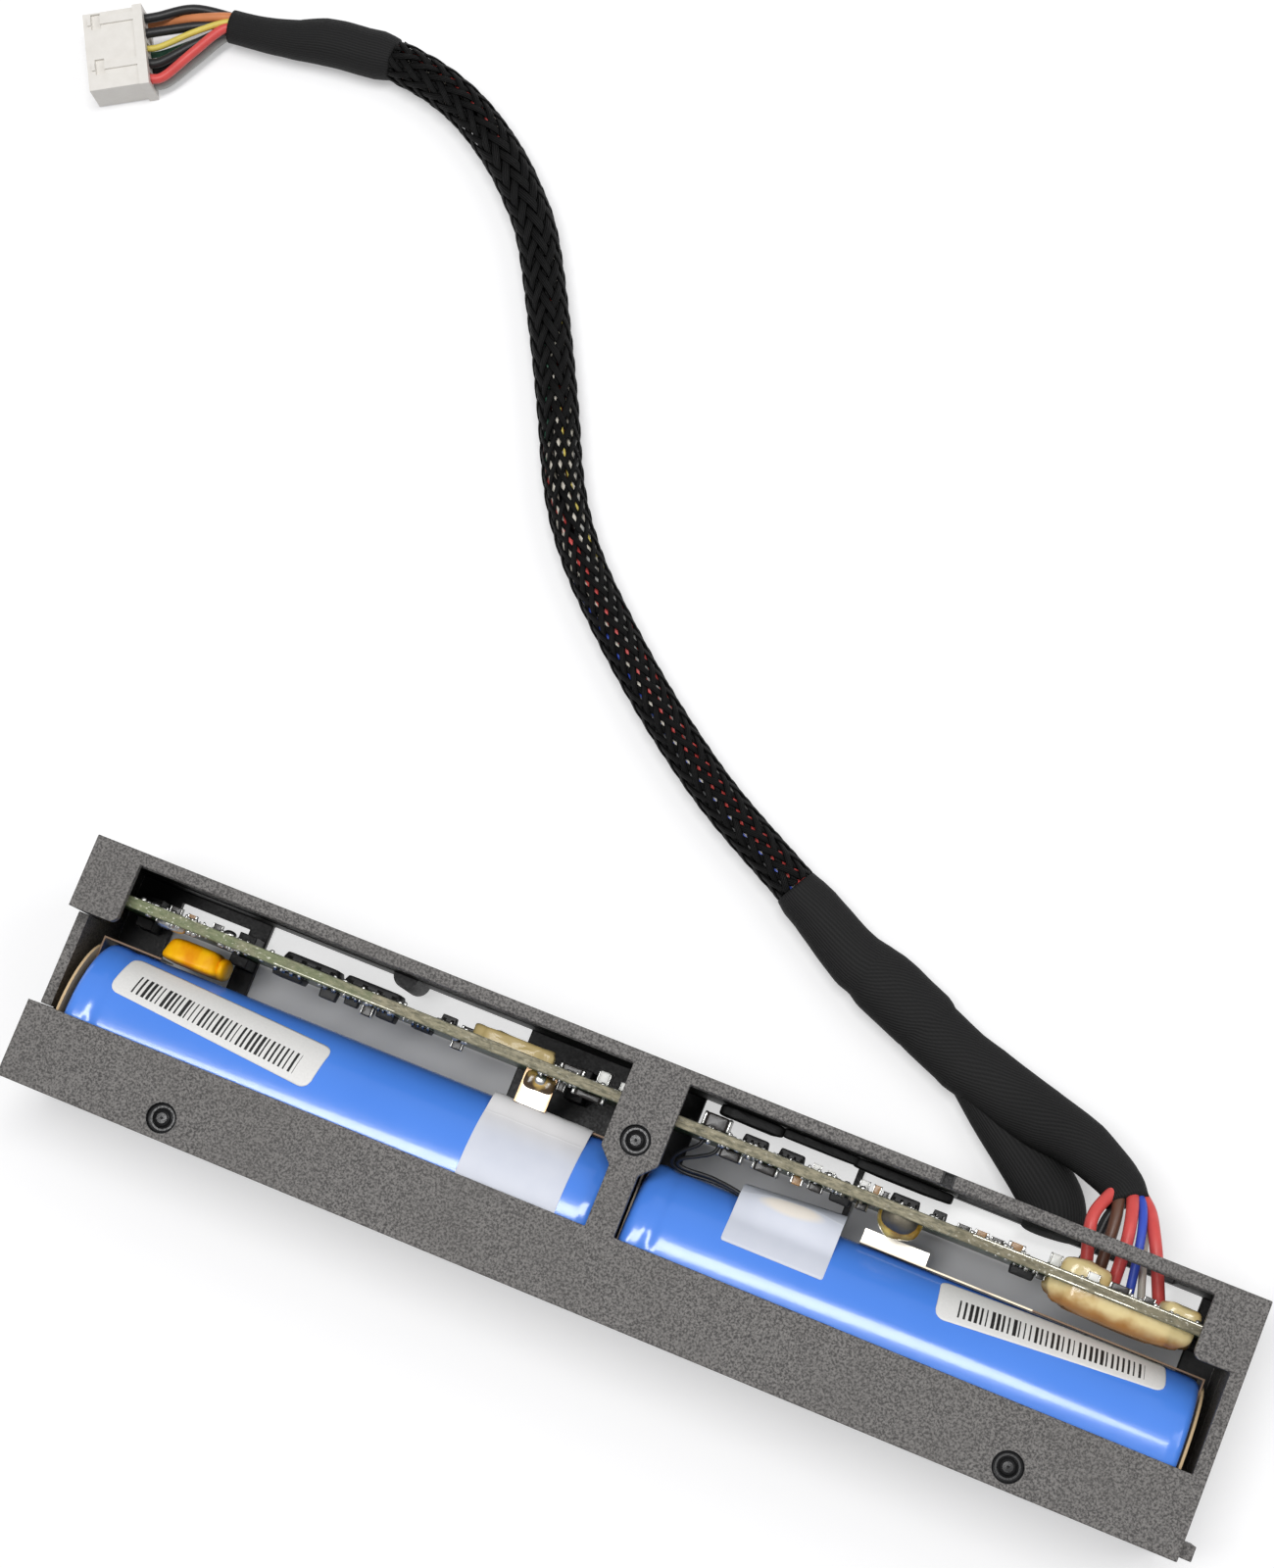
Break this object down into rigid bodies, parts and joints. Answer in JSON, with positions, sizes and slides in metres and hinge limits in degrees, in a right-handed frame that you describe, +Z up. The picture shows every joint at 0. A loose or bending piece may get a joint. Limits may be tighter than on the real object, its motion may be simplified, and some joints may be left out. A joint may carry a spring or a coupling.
{
  "type": "raid battery module",
  "caption": "Backup battery module for a storage controller: two cylindrical cells and their board in a windowed black holder, with a sleeved lead and plug.",
  "frame": {"origin": "middle of the tray's flat underside, which lies on the surface", "axes": "+X along the cells towards the end with the tab, +Y towards the long side that the lead leaves, +Z up out of the windowed face"},
  "size_m": [0.1899, 0.136, 0.021],
  "materials": {
    "holder_plastic": "fine spark-eroded grain",
    "can_steel": "plated",
    "sleeve_blue": "glossy shrink film",
    "fish_paper": "plain",
    "nickel": "bright rolled strip",
    "amber_film": "clear amber film",
    "board_green": "solder mask",
    "chip_resin": "moulded resin",
    "tan_ceramic": "plain",
    "dark_ceramic": "plain",
    "white_ceramic": "plain",
    "solder": "bright solder",
    "resin_bead": "set resin",
    "sealant": "set sealant",
    "sensor_bead": "coated bead",
    "clear_tape": "clear matt tape",
    "label_paper": "plain",
    "wire_red": "soft sheath",
    "wire_brown": "soft sheath",
    "wire_blue": "soft sheath",
    "wire_white": "soft sheath",
    "wire_black": "soft sheath",
    "wire_orange": "soft sheath",
    "wire_grey": "soft sheath",
    "wire_yellow": "soft sheath",
    "wire_green": "soft sheath",
    "cloth_tape": "woven cloth tape",
    "braid": "open braid of stiff threads",
    "plug_nylon": "natural nylon",
    "contact_brass": "stamped"
  },
  "bodies": {
    "root": {"tray": "holder_plastic", "cover": "holder_plastic", "cell_left_can": "can_steel", "cell_left_sleeve": "sleeve_blue", "cell_right_can": "can_steel", "cell_right_sleeve": "sleeve_blue", "button_washers": "label_paper", "end_papers": "fish_paper", "positive_strip": "nickel", "bridge_strip": "nickel", "centre_tap_tab": "nickel", "negative_strip": "nickel", "thermal_cutoff": "amber_film", "circuit_board": "board_green", "control_chips": "chip_resin", "power_transistors": "chip_resin", "small_transistors": "chip_resin", "tan_capacitors": "tan_ceramic", "dark_chip_parts": "dark_ceramic", "white_chip_parts": "white_ceramic", "solder_joints": "solder", "glue_upper": "resin_bead", "glue_lower": "resin_bead", "wall_sealant": "sealant", "thermistor": "sensor_bead", "thermistor_leads": "wire_black", "tape_left": "clear_tape", "tape_right": "clear_tape", "label_left": "label_paper", "label_right": "label_paper", "exit_wires_red": "wire_red", "exit_wire_brown": "wire_brown", "exit_wire_blue": "wire_blue", "exit_wire_white": "wire_white", "exit_wire_black": "wire_black", "cloth_wrap": "cloth_tape", "branch_wrap": "cloth_tape", "braided_sleeve": "braid", "end_wrap": "cloth_tape", "plug_wires_black": "wire_black", "plug_wire_orange": "wire_orange", "plug_wire_grey": "wire_grey", "plug_wire_yellow": "wire_yellow", "plug_wire_green": "wire_green", "plug_wire_red": "wire_red", "plug_housing": "plug_nylon", "plug_contacts": "contact_brass"}
  },
  "joints": []
}
